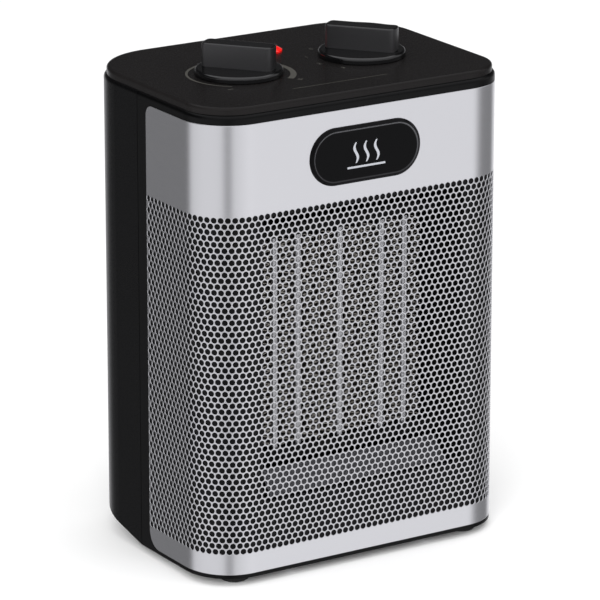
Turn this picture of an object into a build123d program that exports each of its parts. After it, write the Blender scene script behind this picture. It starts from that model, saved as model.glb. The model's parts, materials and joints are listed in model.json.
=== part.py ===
from build123d import *

import os
from math import copysign, hypot

# Ceramic fan heater: a two-shell case with a wrap-round steel grille, a heating element and
# a fan behind it, and two turning knobs on the top panel.
# Millimetres, +Z up, the grille faces -Y, origin on the floor under the middle of the case.

# --- Case ---------------------------------------------------------------------------------
case_width = 176.5
case_depth = 129.3
front_corner = 24.7
rear_corner = 38.0
wall = 2.5
case_bottom = 4.0
rim_top = 239.8
rim_radius = 2.2
ledge_bottom = 236.0
ledge_inset = 6.0
lip_gap = 0.2
lip_width = 2.0
panel_top = 243.5
panel_inset = 1.4
panel_edge = 1.5
seam_y = 4.0
seam_gap = 0.4
frame_bottom = 30.0
tongue_length = 3.0
tongue_gap = 0.2
tongue_inset = 1.3
rear_rise = 13.0
front_y = -case_depth / 2
rear_y = case_depth / 2

# --- Steel grille -------------------------------------------------------------------------
sheet = 0.6
steel_bottom = 5.9
steel_top = 235.0
steel_rear_y = -4.0
steel_top_corner = 5.5
steel_bottom_corner = 9.0
recess_gap = 0.3

# --- Badge --------------------------------------------------------------------------------
badge_length = 64.0
badge_height = 29.0
badge_z = 212.0
badge_proud = 1.5
badge_bevel = 1.1
badge_ridge = 0.6
badge_dish = 0.35
badge_dish_slope = 45.0
badge_stud_x = 20.0
stud_radius = 1.5
stud_hole_radius = 1.6

# --- Air path -----------------------------------------------------------------------------
air_z = 114.5
duct_width = 122.0
duct_height = 150.0
duct_wall = 2.5
duct_corner = 6.0
duct_front_y = front_y + wall
duct_rear_y = -22.0
element_front_y = -43.0
element_rear_y = -28.0
bar_height = 109.0
bar_width = 3.5
bar_skin = 0.5
bar_corner = 1.0
stone_count = 4
stone_height = 24.0
bar_positions = (-38.3, -24.6, 0.0, 24.6, 38.3)
element_half_width = 48.5
fin_pitch = 3.4
fin_sheet = 0.3
fin_gap = 0.15
fin_end_gap = 1.0
fin_setback = 0.5
divider_x = 12.3
divider_sheet = 0.5
holder_height = 7.0
holder_overhang = 2.0
holder_edge = 0.8
sill_half_width = 52.0
sill_sheet = 1.2
sill_front_y = -60.5
sill_rear_y = -51.0
sill_rear_z = 53.0

# --- Overheat protection and blade terminals --------------------------------------------------
cutout_x = -24.0
cutout_flange_radius = 8.0
cutout_cap_radius = 6.5
cutout_step = 5.0
fuse_x = 20.0
fuse_radius = 2.0
fuse_length = 12.0
fuse_lead_radius = 0.5
fuse_lead_length = 10.0
tab_length = 8.0
tab_width = 6.3
tab_sheet = 0.8

# --- Fan and motor ------------------------------------------------------------------------
fan_radius = 45.5
fan_clearance = 2.0
fan_blades = 7
fan_hub_radius = 13.0
blade_thickness = 1.5
blade_root_chord = 14.0
blade_tip_chord = 24.0
blade_root_pitch = 48.0
blade_tip_pitch = 28.0
blade_root_sink = 0.8
blade_tip_setback = 1.0
fan_front_y = -16.0
fan_rear_y = 0.0
ring_rear_y = 4.0
ring_wall = 2.5
shaft_radius = 1.6
shaft_clearance = 0.05
shaft_front_y = -17.0
shaft_rear_y = 43.0
mount_plate_y = 10.0
mount_plate_sheet = 2.0
mount_screw_x = 21.0
mount_eye_radius = 15.0
stack_front_y = 18.0
stack_rear_y = 32.0
stack_width = 56.0
stack_top = 19.0
stack_bottom = -27.0
leg_half_width = 13.0
leg_drop = 20.0
window_width = 8.0
window_height = 9.0
coil_overhang = 5.0
coil_side_gap = 1.0
coil_end_gap = 0.3
coil_corner = 2.0
rotor_radius = 10.5
rotor_gap = 0.5
bracket_sheet = 2.0
bracket_reach = 5.0
bearing_radius = 5.0
bearing_wall = 2.5
bearing_setback = 1.0
arm_width = 10.0
arm_overlap = 1.0
hub_fillet = 3.0

# --- Knobs and the controls under them ------------------------------------------------------
knob_x = 36.0
knob_y = -6.0
knob_bottom = 243.9
knob_skirt_top = 246.9
knob_skirt_radius = 22.0
knob_skirt_edge = 1.4
knob_skirt_wall = 2.0
knob_hollow = 1.2
knob_boss_wall = 3.0
knob_top = 259.0
grip_radius = 18.5
grip_width = 11.0
grip_corner = 2.5
grip_edge = 0.8
grip_sink = 0.5
grip_angle = -51.0
spindle_radius = 3.0
spindle_flat = 2.3
spindle_flat_bottom = 244.5
spindle_top = 253.0
spindle_bottom = 226.0
spindle_end_gap = 1.0
bush_radius = 4.3
bush_top = 243.0
panel_hole_radius = 4.6
control_top = 235.0
control_width = 34.0
control_corner = 2.0
control_post_radius = 2.5
control_post_pitch = (24.0, 18.0)
thermostat_bottom = 216.0
thermostat_depth = 26.0
strip_length = 44.0
strip_width = 8.0
strip_sheet = 0.7
strip_gap = 1.3
switch_bottom = 211.0
switch_depth = 30.0
tab_pitch = (9.0, 16.0)

# --- Pilot light ----------------------------------------------------------------------------
lens_y = 26.5
lens_radius = 8.0
lens_flange = 0.8
lens_dome = 2.6
lens_neck_radius = 6.0
lens_hole_radius = 6.2
lens_bore_radius = 4.6
lens_bottom = 234.0
lamp_radius = 2.8
lamp_tip_radius = 2.52
lamp_length = 12.0
lamp_drop = 4.0
lamp_lead_x = 1.2
lamp_lead_radius = 0.4

# --- Base, feet and tip-over switch -----------------------------------------------------------
base_bottom = 4.5
base_top = 7.0
base_gap = 0.1
foot_radius = 7.0
foot_edge = 1.0
foot_peg_radius = 2.5
front_feet = [(-68.0, -52.0), (68.0, -52.0)]
rear_feet = [(-60.0, 40.0), (60.0, 40.0)]
leg_radius = 9.5
post_radius = 4.5
post_top = 22.0
base_screws_at = [(-81.5, -20.0), (81.5, -20.0), (-40.0, -58.5), (40.0, -58.5)]
screw_radius = 1.5
base_screw_length = 12.0
screw_hole_radius = 1.7
screw_head_radius = 2.8
screw_head_height = 1.8
screw_head_gap = 0.3
screw_point = 0.5
screw_slot_length = 3.2
screw_slot_width = 0.7
screw_slot_depth = 1.0
tip_y = -20.0
plunger_radius = 3.9
plunger_hole_radius = 4.2
plunger_collar_radius = 6.0
plunger_collar_z = 14.0
plunger_collar = 2.0
spring_wire = 0.3
spring_coil_radius = 5.0
spring_turns = 5
plunger_top = 18.0
plunger_tip_edge = 1.5
tip_chamber_radius = 6.6
tip_chamber_bottom = 9.5
tip_chamber_top = 26.0
tip_body_top = 29.0
tip_body_size = (26.0, 18.0)

# --- Terminal block ---------------------------------------------------------------------------
block_at = (48.0, -14.0)
block_size = (36.0, 18.0)
block_height = 14.0
block_pitch = (11.0, 10.0)
block_well = 9.0
block_screw_radius = 2.2
block_screw_length = 6.0

# --- Rear wall ------------------------------------------------------------------------------
slot_length = 28.0
slot_height = 3.2
slot_columns = 3
slot_rows = 17
slot_pitch_x = 33.0
slot_pitch_z = 6.5
intake_recess = 0.8
intake_margin = 4.0
guard_width = 106.0
guard_bottom = 33.0
guard_top = 190.0
gland_x = 34.0
gland_z = 45.0
gland_flange_radius = 9.0
gland_radius = 6.4
gland_bore_radius = 3.6
gland_inner_y = 52.0
gland_edge = 0.8
cover_screws_at = [(-48.0, 28.0), (48.0, 28.0), (-48.0, 197.0), (48.0, 197.0)]
cover_screw_inner_y = 46.0
cover_screw_length = 52.0
boss_face_y = seam_y - tongue_length - tongue_gap
boss_depth = 14.0


# --- Shapes that several pieces share ---------------------------------------------------------
def case_outline(inset=0.0):
    """Plan of the case, set in from its outer wall: tight front corners and wide rear ones."""
    with BuildSketch() as outline:
        Rectangle(case_width - 2 * inset, case_depth - 2 * inset)
        fillet(outline.vertices().group_by(Axis.Y)[0], front_corner - inset)
        fillet(outline.vertices().group_by(Axis.Y)[-1], rear_corner - inset)
    return outline.sketch


def case_ring(outer_inset, inner_inset):
    """Plan of a band that follows the case wall."""
    with BuildSketch() as ring:
        add(case_outline(outer_inset))
        add(case_outline(inner_inset), mode=Mode.SUBTRACT)
    return ring.sketch


def wrap_side(gap):
    """Side view of the steel wrap, grown by a gap, as a face in the YZ plane's own axes."""
    low = steel_bottom - gap
    high = steel_top + gap
    front = front_y - wall
    rear = steel_rear_y + gap
    with BuildSketch() as side:
        with Locations(((front + rear) / 2, (low + high) / 2)):
            Rectangle(rear - front, high - low)
        rear_corners = side.vertices().group_by(Axis.X)[-1].sort_by(Axis.Y)
        fillet(rear_corners[-1], steel_top_corner + gap)
        fillet(side.vertices().group_by(Axis.X)[-1].sort_by(Axis.Y)[0], steel_bottom_corner + gap)
    return side.sketch


def wrap_band(gap):
    """The U-shaped band that the steel fills; with a gap it is the recess round the steel."""
    with BuildPart() as band:
        with BuildSketch(Plane.XY):
            add(case_ring(-gap, sheet))
        extrude(amount=rim_top)
        with BuildSketch(Plane.YZ):
            add(wrap_side(gap))
        extrude(amount=case_width, both=True, mode=Mode.INTERSECT)
    return band.part


def pill(inset):
    """The badge's outline, standing upright in the front plane's own axes."""
    with BuildSketch() as outline:
        with Locations((0, badge_z)):
            SlotOverall(badge_length - 2 * inset, badge_height - 2 * inset)
    return outline.sketch


def front_plane(y):
    """An upright plane at depth y that faces the front; extrusions from it come forwards."""
    return Plane.XZ.offset(-y)


def pan_screw(length):
    """A pan-head screw with its head below z = 0 and its shank standing up from it."""
    with BuildPart() as screw:
        with BuildSketch(Plane.XY.offset(-screw_head_height)):
            Circle(screw_head_radius)
        extrude(amount=screw_head_height)
        fillet(screw.edges().sort_by(Axis.Z)[0], screw_head_height / 2)
        with BuildSketch(Plane.XY.offset(-screw_head_height)):
            Rectangle(screw_slot_length, screw_slot_width)
            Rectangle(screw_slot_width, screw_slot_length)
        extrude(amount=screw_slot_depth, mode=Mode.SUBTRACT)
        with BuildSketch(Plane.XY):
            Circle(screw_radius)
        extrude(amount=length)
        chamfer(screw.edges().sort_by(Axis.Z)[-1], screw_point)
    return screw.part


# --- Case shells ------------------------------------------------------------------------------
with BuildPart() as case_shell:
    with BuildSketch(Plane.XY.offset(case_bottom)):
        add(case_outline())
    extrude(amount=rim_top - case_bottom)
    fillet(case_shell.faces().sort_by(Axis.Z)[-1].edges(), rim_radius)
    with BuildSketch(Plane.XY.offset(case_bottom)):
        add(case_outline(wall))
    extrude(amount=ledge_bottom - case_bottom, mode=Mode.SUBTRACT)
    with BuildSketch(Plane.XY.offset(ledge_bottom)):
        add(case_outline(ledge_inset))
    extrude(amount=rim_top - ledge_bottom, mode=Mode.SUBTRACT)

seam_plane = front_plane(seam_y)
steel_recess = wrap_band(recess_gap)

with BuildPart() as front_moulding:
    add(case_shell.part)
    split(bisect_by=seam_plane, keep=Keep.TOP)
    # rebate inside the seam that takes the rear cover's tongue
    with BuildSketch(Plane.XY.offset(case_bottom)):
        add(case_ring(tongue_inset, wall))
        with Locations((0, seam_y - tongue_length - case_depth)):
            Rectangle(case_width * 2, case_depth * 2, mode=Mode.SUBTRACT)
    extrude(amount=ledge_bottom - case_bottom, mode=Mode.SUBTRACT)
    add(steel_recess, mode=Mode.SUBTRACT)
    # outlet window
    with BuildSketch(front_plane(front_y + 2 * wall)):
        with Locations((0, air_z)):
            RectangleRounded(
                duct_width - 2 * duct_wall, duct_height - 2 * duct_wall, duct_corner - duct_wall
            )
    extrude(amount=3 * wall, mode=Mode.SUBTRACT)
    # holes for the badge's studs
    with BuildSketch(front_plane(front_y + 2 * wall)):
        with Locations((-badge_stud_x, badge_z), (badge_stud_x, badge_z)):
            Circle(stud_hole_radius)
    extrude(amount=3 * wall, mode=Mode.SUBTRACT)
    # posts that take the base screws
    with BuildSketch(Plane.XY.offset(base_top)):
        with Locations(*base_screws_at):
            Circle(post_radius)
    extrude(amount=post_top - base_top)
    with BuildSketch(Plane.XY.offset(base_top)):
        with Locations(*base_screws_at):
            Circle(screw_radius)
    extrude(amount=post_top - base_top - wall, mode=Mode.SUBTRACT)
    # bosses that take the rear cover's screws, each on an arm from the side wall
    with BuildSketch(front_plane(boss_face_y)):
        for boss_x, boss_z in cover_screws_at:
            wall_x = copysign((case_width - wall) / 2, boss_x)
            with Locations(((boss_x + wall_x) / 2, boss_z)):
                Rectangle(abs(wall_x - boss_x), 2 * post_radius)
        with Locations(*cover_screws_at):
            Circle(post_radius)
    extrude(amount=boss_depth)
    with BuildSketch(front_plane(boss_face_y)):
        with Locations(*cover_screws_at):
            Circle(screw_radius)
    extrude(amount=boss_depth - wall, mode=Mode.SUBTRACT)

# The flat wall round the outlet window is a node of its own, behind the steel.
with BuildPart() as window_region:
    with BuildSketch(front_plane(front_y + wall)):
        with Locations((0, (frame_bottom + ledge_bottom) / 2)):
            Rectangle(case_width - 2 * front_corner, ledge_bottom - frame_bottom)
    extrude(amount=2 * wall)

with BuildPart() as front_frame:
    add(front_moulding.part)
    add(window_region.part, mode=Mode.INTERSECT)

with BuildPart() as main_housing:
    add(front_moulding.part)
    add(window_region.part, mode=Mode.SUBTRACT)

# The rear cover's floor climbs towards the rear wall.
with BuildPart() as rear_floor:
    with BuildSketch(Plane.XY):
        add(case_outline(wall / 2))
    extrude(amount=rear_rise * 3)
    with BuildSketch(Plane.YZ):
        with BuildLine():
            Polyline(
                (seam_y + seam_gap, case_bottom),
                (rear_y, case_bottom + rear_rise),
                (rear_y, case_bottom + rear_rise + wall),
                (seam_y + seam_gap, case_bottom + wall),
                close=True,
            )
        make_face()
    extrude(amount=case_width / 2, both=True, mode=Mode.INTERSECT)

with BuildPart() as rear_moulding:
    add(case_shell.part)
    split(bisect_by=front_plane(seam_y + seam_gap), keep=Keep.BOTTOM)
    with BuildSketch(Plane.YZ):
        with BuildLine():
            Polyline(
                (seam_y, case_bottom - wall),
                (seam_y, case_bottom),
                (seam_y + seam_gap, case_bottom),
                (rear_y, case_bottom + rear_rise),
                (rear_y + wall, case_bottom + rear_rise),
                (rear_y + wall, case_bottom - wall),
                close=True,
            )
        make_face()
    extrude(amount=case_width, both=True, mode=Mode.SUBTRACT)
    add(rear_floor.part)
    # tongue that slides inside the front shell's rebate
    with BuildSketch(Plane.XY.offset(base_top + wall)):
        add(case_ring(tongue_inset, wall))
        with Locations((0, seam_y - tongue_length + tongue_gap - case_depth)):
            Rectangle(case_width * 2, case_depth * 2, mode=Mode.SUBTRACT)
        with Locations((0, seam_y + wall + case_depth)):
            Rectangle(case_width * 2, case_depth * 2, mode=Mode.SUBTRACT)
    extrude(amount=ledge_bottom - base_top - wall)
    # legs under the sloping floor
    with BuildSketch(Plane.XY.offset(base_bottom)):
        with Locations(*rear_feet):
            Circle(leg_radius)
    extrude(amount=rear_rise - wall)
    with BuildSketch(Plane.XY.offset(base_bottom)):
        with Locations(*rear_feet):
            Circle(foot_peg_radius)
    extrude(amount=wall, mode=Mode.SUBTRACT)
    # shallow panel round the intake, then the slots through it
    with BuildSketch(front_plane(rear_y - intake_recess)):
        with Locations((0, air_z)):
            RectangleRounded(
                slot_columns * slot_pitch_x + intake_margin,
                slot_rows * slot_pitch_z + intake_margin,
                duct_corner,
            )
    extrude(amount=-wall, mode=Mode.SUBTRACT)
    with BuildSketch(front_plane(rear_y - 2 * wall)):
        with Locations((0, air_z)):
            with GridLocations(slot_pitch_x, slot_pitch_z, slot_columns, slot_rows):
                SlotOverall(slot_length, slot_height)
    extrude(amount=-3 * wall, mode=Mode.SUBTRACT)
    # hole for the cable gland
    with BuildSketch(front_plane(rear_y - 3 * wall)):
        with Locations((gland_x, gland_z)):
            Circle(gland_radius)
    extrude(amount=-4 * wall, mode=Mode.SUBTRACT)
    # screw tubes with a counterbore in the rear face
    with BuildSketch(front_plane(rear_y - wall)):
        with Locations(*cover_screws_at):
            Circle(post_radius)
    extrude(amount=rear_y - wall - boss_face_y)
    with BuildSketch(front_plane(rear_y + wall)):
        with Locations(*cover_screws_at):
            Circle(screw_head_radius + screw_head_gap)
    extrude(amount=rear_y + wall - cover_screw_inner_y, mode=Mode.SUBTRACT)
    with BuildSketch(front_plane(rear_y)):
        with Locations(*cover_screws_at):
            Circle(screw_hole_radius)
    extrude(amount=case_depth, mode=Mode.SUBTRACT)

# The flat middle of the rear wall, with the slots and the gland hole, is a node of its own.
with BuildPart() as guard_region:
    with BuildSketch(front_plane(rear_y - 2 * wall)):
        with Locations((0, (guard_bottom + guard_top) / 2)):
            Rectangle(guard_width, guard_top - guard_bottom)
    extrude(amount=-3 * wall)

with BuildPart() as rear_guard:
    add(rear_moulding.part)
    add(guard_region.part, mode=Mode.INTERSECT)

with BuildPart() as rear_cover:
    add(rear_moulding.part)
    add(guard_region.part, mode=Mode.SUBTRACT)

with BuildPart() as control_panel:
    with BuildSketch(Plane.XY.offset(rim_top)):
        add(case_outline(panel_inset))
    extrude(amount=panel_top - rim_top)
    fillet(control_panel.faces().sort_by(Axis.Z)[-1].edges(), panel_edge)
    # locating lip inside the rim
    with BuildSketch(Plane.XY.offset(ledge_bottom)):
        add(case_ring(ledge_inset + lip_gap, ledge_inset + lip_gap + lip_width))
    extrude(amount=rim_top - ledge_bottom)
    # posts that carry the thermostat and the switch
    with BuildSketch(Plane.XY.offset(control_top)):
        for sign_x in (-1, 1):
            with Locations((sign_x * knob_x, knob_y)):
                with GridLocations(*control_post_pitch, 2, 2):
                    Circle(control_post_radius)
    extrude(amount=rim_top - control_top)
    with BuildSketch(Plane.XY.offset(rim_top)):
        with Locations((-knob_x, knob_y), (knob_x, knob_y)):
            Circle(panel_hole_radius)
        with Locations((0, lens_y)):
            Circle(lens_hole_radius)
    extrude(amount=panel_top - rim_top, mode=Mode.SUBTRACT)

with BuildPart() as base_plate:
    with BuildSketch(Plane.XY.offset(base_bottom)):
        add(case_outline(wall + base_gap))
        with Locations((0, seam_y + case_depth)):
            Rectangle(case_width * 2, case_depth * 2, mode=Mode.SUBTRACT)
        with Locations(*base_screws_at):
            Circle(screw_hole_radius, mode=Mode.SUBTRACT)
        with Locations(*front_feet):
            Circle(foot_peg_radius, mode=Mode.SUBTRACT)
        with Locations((0, tip_y)):
            Circle(plunger_hole_radius, mode=Mode.SUBTRACT)
    extrude(amount=base_top - base_bottom)

# --- Steel grille and badge -------------------------------------------------------------------
with BuildPart() as front_grille:
    add(wrap_band(0.0))
    with BuildSketch(front_plane(front_y + wall)):
        with Locations((-badge_stud_x, badge_z), (badge_stud_x, badge_z)):
            Circle(stud_hole_radius)
    extrude(amount=2 * wall, mode=Mode.SUBTRACT)

with BuildPart() as badge_plate:
    with BuildSketch(front_plane(front_y)):
        add(pill(0.0))
    extrude(amount=badge_proud)
    chamfer(badge_plate.faces().sort_by(Axis.Y)[0].edges(), badge_bevel)
    # dished face inside the ridge
    with BuildSketch(front_plane(front_y - badge_proud)):
        add(pill(badge_bevel + badge_ridge))
    extrude(amount=-badge_dish, taper=badge_dish_slope, mode=Mode.SUBTRACT)
    with BuildSketch(front_plane(front_y)):
        with Locations((-badge_stud_x, badge_z), (badge_stud_x, badge_z)):
            Circle(stud_radius)
    extrude(amount=-2 * wall)

# --- Duct, element and sill ---------------------------------------------------------------------
with BuildPart() as outlet_duct:
    with BuildSketch(front_plane(duct_rear_y)):
        with Locations((0, air_z)):
            RectangleRounded(duct_width, duct_height, duct_corner)
            RectangleRounded(
                duct_width - 2 * duct_wall,
                duct_height - 2 * duct_wall,
                duct_corner - duct_wall,
                mode=Mode.SUBTRACT,
            )
    extrude(amount=duct_rear_y - duct_front_y)

with BuildPart() as contact_bars:
    with BuildSketch(Plane.XY.offset(air_z - bar_height / 2)):
        for bar_x in bar_positions:
            with Locations((bar_x, (element_front_y + element_rear_y) / 2)):
                RectangleRounded(bar_width, element_rear_y - element_front_y, bar_corner)
                Rectangle(
                    bar_width - 2 * bar_skin,
                    element_rear_y - element_front_y - 2 * bar_width,
                    mode=Mode.SUBTRACT,
                )
    extrude(amount=bar_height)

stone_width = bar_width - 2 * bar_skin
stone_depth = element_rear_y - element_front_y - 2 * bar_width
with BuildPart() as ptc_stones:
    for bar_x in bar_positions:
        for stone in range(stone_count):
            stone_z = air_z + (stone - (stone_count - 1) / 2) * (bar_height / stone_count)
            with BuildSketch(Plane.XY.offset(stone_z - stone_height / 2)):
                with Locations((bar_x, (element_front_y + element_rear_y) / 2)):
                    Rectangle(stone_width, stone_depth)
            extrude(amount=stone_height)


def fin_column(left, right):
    """Front view of one corrugated strip between two bars, as a zigzag band of even thickness."""
    height = bar_height - 2 * fin_end_gap
    low = air_z - height / 2
    folds = int(height / (fin_pitch / 2))
    step = height / folds
    # the band's width measured level, so that it is one sheet thick across its slope
    band = fin_sheet * hypot(right - left, step) / step
    near = left + fin_gap
    far = right - fin_gap - band
    left_side = [((near, far)[fold % 2], low + fold * step) for fold in range(folds + 1)]
    right_side = [(x + band, z) for x, z in left_side]
    with BuildSketch() as column:
        with BuildLine():
            Polyline(*left_side, *reversed(right_side), close=True)
        make_face()
    return column.sketch


# Each strip lies between two neighbours: a bar, a thin divider or nothing at the outer edges.
fin_supports = [(-element_half_width, 0.0), (element_half_width, 0.0)]
fin_supports += [(bar_x, bar_width) for bar_x in bar_positions]
fin_supports += [(side * divider_x, divider_sheet) for side in (-1, 1)]
fin_supports.sort()
with BuildPart() as heater_fins:
    for (left_x, left_width), (right_x, right_width) in zip(fin_supports, fin_supports[1:]):
        with BuildSketch(front_plane(element_rear_y - fin_setback)):
            add(fin_column(left_x + left_width / 2, right_x - right_width / 2))
        extrude(amount=element_rear_y - element_front_y - 2 * fin_setback)
    with BuildSketch(front_plane(element_rear_y - fin_setback)):
        with Locations((-divider_x, air_z), (divider_x, air_z)):
            Rectangle(divider_sheet, bar_height)
    extrude(amount=element_rear_y - element_front_y - 2 * fin_setback)

holder_reach = duct_width / 2 - duct_wall


def element_holder(low):
    """A heat-proof rail that closes one end of the element and bears on the duct's sides."""
    with BuildPart() as holder:
        with BuildSketch(Plane.XY.offset(low)):
            with Locations((0, (element_front_y + element_rear_y) / 2)):
                Rectangle(2 * holder_reach, element_rear_y - element_front_y + 2 * holder_overhang)
        extrude(amount=holder_height)
        chamfer(holder.edges().filter_by(Axis.X), holder_edge)
    return holder.part


with BuildPart() as element_frame_bottom:
    add(element_holder(air_z - bar_height / 2 - holder_height))

with BuildPart() as element_frame_top:
    add(element_holder(air_z + bar_height / 2))

duct_floor_z = air_z - duct_height / 2 + duct_wall
sill_slope = (sill_rear_z - duct_floor_z) / (sill_rear_y - sill_front_y)
sill_level_width = sill_sheet * hypot(1.0, sill_slope) / sill_slope
sill_inner_rise = sill_slope * (sill_rear_y - sill_sheet - sill_front_y - sill_level_width)
with BuildPart() as sill_deflector:
    with BuildSketch(Plane.YZ):
        with BuildLine():
            Polyline(
                (sill_front_y, duct_floor_z),
                (sill_rear_y, sill_rear_z),
                (sill_rear_y, duct_floor_z),
                (sill_rear_y - sill_sheet, duct_floor_z),
                (sill_rear_y - sill_sheet, duct_floor_z + sill_inner_rise),
                (sill_front_y + sill_level_width, duct_floor_z),
                close=True,
            )
        make_face()
    extrude(amount=sill_half_width, both=True)

# --- Overheat protection on top of the duct ---------------------------------------------------
duct_roof_z = air_z + duct_height / 2
element_middle_y = (element_front_y + element_rear_y) / 2
with BuildPart() as thermal_cutout:
    with BuildSketch(Plane.XY.offset(duct_roof_z)):
        with Locations((cutout_x, element_middle_y)):
            Circle(cutout_flange_radius)
    extrude(amount=cutout_step)
    with BuildSketch(Plane.XY.offset(duct_roof_z + cutout_step)):
        with Locations((cutout_x, element_middle_y)):
            Circle(cutout_cap_radius)
    extrude(amount=cutout_step)
    with BuildSketch(Plane.XY.offset(duct_roof_z + cutout_step / 2)):
        with Locations((cutout_x, element_middle_y)):
            Rectangle(2 * cutout_flange_radius + 2 * tab_length, tab_width)
    extrude(amount=tab_sheet)

with BuildPart() as thermal_fuse:
    with BuildSketch(Plane.YZ.offset(fuse_x)):
        with Locations((element_middle_y, duct_roof_z + fuse_radius)):
            Circle(fuse_radius)
    extrude(amount=fuse_length / 2, both=True)
    with BuildSketch(Plane.YZ.offset(fuse_x)):
        with Locations((element_middle_y, duct_roof_z + fuse_radius)):
            Circle(fuse_lead_radius)
    extrude(amount=fuse_length / 2 + fuse_lead_length, both=True)

# --- Fan --------------------------------------------------------------------------------------
ring_inner = fan_radius + fan_clearance
with BuildPart() as fan_shroud:
    with BuildSketch(front_plane(duct_rear_y + duct_wall)):
        with Locations((0, air_z)):
            RectangleRounded(duct_width, duct_height, duct_corner)
            Circle(ring_inner, mode=Mode.SUBTRACT)
    extrude(amount=duct_wall)
    with BuildSketch(front_plane(ring_rear_y)):
        with Locations((0, air_z)):
            Circle(ring_inner + ring_wall)
            Circle(ring_inner, mode=Mode.SUBTRACT)
    extrude(amount=ring_rear_y - duct_rear_y - duct_wall)
    # arms behind the fan that carry the motor
    with BuildSketch(front_plane(mount_plate_y)):
        with Locations((0, air_z)):
            Rectangle(2 * ring_inner + 2 * ring_wall, arm_width)
            Circle(mount_screw_x + arm_width / 2)
            Circle(mount_eye_radius, mode=Mode.SUBTRACT)
            with Locations((-mount_screw_x, 0), (mount_screw_x, 0)):
                Circle(screw_hole_radius, mode=Mode.SUBTRACT)
    extrude(amount=mount_plate_sheet)
    with BuildSketch(front_plane(mount_plate_y)):
        for sign_x in (-1, 1):
            with Locations((sign_x * (ring_inner + ring_wall / 2), air_z)):
                Rectangle(ring_wall, arm_width)
    extrude(amount=mount_plate_y - ring_rear_y + arm_overlap)

fan_middle_y = (fan_front_y + fan_rear_y) / 2


def blade_section(radius, chord, pitch):
    """A flat blade section across the blade, standing at one radius above the fan's axis."""
    plane = Plane(origin=(0, fan_middle_y, air_z + radius), x_dir=(1, 0, 0), z_dir=(0, 0, 1))
    with BuildSketch(plane) as section:
        with Locations(Location((0, 0, 0), (0, 0, pitch))):
            SlotOverall(chord, blade_thickness)
    return section.sketch


with BuildPart() as one_blade:
    add(blade_section(fan_hub_radius - blade_root_sink, blade_root_chord, blade_root_pitch))
    add(blade_section(fan_radius - blade_tip_setback, blade_tip_chord, blade_tip_pitch))
    loft()

with BuildPart() as fan_impeller:
    with BuildSketch(front_plane(fan_rear_y)):
        with Locations((0, air_z)):
            Circle(fan_hub_radius)
    extrude(amount=fan_rear_y - fan_front_y)
    fillet(fan_impeller.edges().sort_by(Axis.Y)[0], hub_fillet)
    for blade in range(fan_blades):
        add(one_blade.part.rotate(Axis((0, 0, air_z), (0, 1, 0)), blade * 360.0 / fan_blades))
    with BuildSketch(front_plane(fan_rear_y)):
        with Locations((0, air_z)):
            Circle(ring_inner)
            Circle(fan_radius, mode=Mode.SUBTRACT)
    extrude(amount=fan_rear_y - fan_front_y, mode=Mode.SUBTRACT)
    with BuildSketch(front_plane(fan_rear_y)):
        with Locations((0, air_z)):
            Circle(shaft_radius)
    extrude(amount=fan_rear_y - shaft_front_y, mode=Mode.SUBTRACT)

with BuildPart() as motor_shaft:
    with BuildSketch(front_plane(shaft_rear_y)):
        with Locations((0, air_z)):
            Circle(shaft_radius)
    extrude(amount=shaft_rear_y - shaft_front_y)

with BuildPart() as motor_rotor:
    with BuildSketch(front_plane(stack_rear_y)):
        with Locations((0, air_z)):
            Circle(rotor_radius)
            Circle(shaft_radius, mode=Mode.SUBTRACT)
    extrude(amount=stack_rear_y - stack_front_y)

# --- Motor ------------------------------------------------------------------------------------
with BuildPart() as motor_stator:
    with BuildSketch(front_plane(stack_rear_y)):
        with Locations((0, air_z + (stack_top + stack_bottom) / 2)):
            Rectangle(stack_width, stack_top - stack_bottom)
        with Locations((0, air_z)):
            Circle(rotor_radius + rotor_gap, mode=Mode.SUBTRACT)
        # windows either side of the leg that the coil is wound on
        for sign_x in (-1, 1):
            with Locations((sign_x * (leg_half_width + window_width / 2), air_z - leg_drop)):
                Rectangle(window_width, window_height, mode=Mode.SUBTRACT)
        with Locations((-mount_screw_x, air_z), (mount_screw_x, air_z)):
            Circle(screw_radius, mode=Mode.SUBTRACT)
    extrude(amount=stack_rear_y - stack_front_y)

with BuildPart() as motor_coil:
    with BuildSketch(front_plane(stack_rear_y + coil_overhang)):
        with Locations((0, air_z - leg_drop)):
            RectangleRounded(
                2 * (leg_half_width + window_width - coil_side_gap),
                window_height - 2 * coil_end_gap,
                coil_corner,
            )
    extrude(amount=stack_rear_y - stack_front_y + 2 * coil_overhang)
    # the leg of the core runs through it
    with BuildSketch(front_plane(stack_rear_y)):
        with Locations((0, air_z - leg_drop)):
            Rectangle(2 * leg_half_width, window_height)
    extrude(amount=stack_rear_y - stack_front_y, mode=Mode.SUBTRACT)


def motor_bracket(inner_y, outward):
    """A bridge over one face of the core that holds a bearing on the fan's axis."""
    outer_y = inner_y + outward * bracket_reach
    with BuildPart() as bracket:
        with BuildSketch(front_plane(outer_y)):
            with Locations((0, air_z)):
                Rectangle(2 * mount_screw_x + arm_width, arm_width)
                Circle(bearing_radius + bearing_wall)
        extrude(amount=outward * bracket_sheet)
        with BuildSketch(front_plane(inner_y)):
            for sign_x in (-1, 1):
                with Locations((sign_x * mount_screw_x, air_z)):
                    Rectangle(arm_width, arm_width)
        extrude(amount=-outward * bracket_reach)
        with BuildSketch(front_plane(inner_y - outward * wall)):
            with Locations((0, air_z)):
                Circle(bearing_radius)
            with Locations((-mount_screw_x, air_z), (mount_screw_x, air_z)):
                Circle(screw_radius)
        extrude(amount=-outward * (bracket_reach + 2 * wall), mode=Mode.SUBTRACT)
    return bracket.part


with BuildPart() as motor_brackets:
    add(motor_bracket(stack_front_y, -1))
    add(motor_bracket(stack_rear_y, 1))

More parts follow.
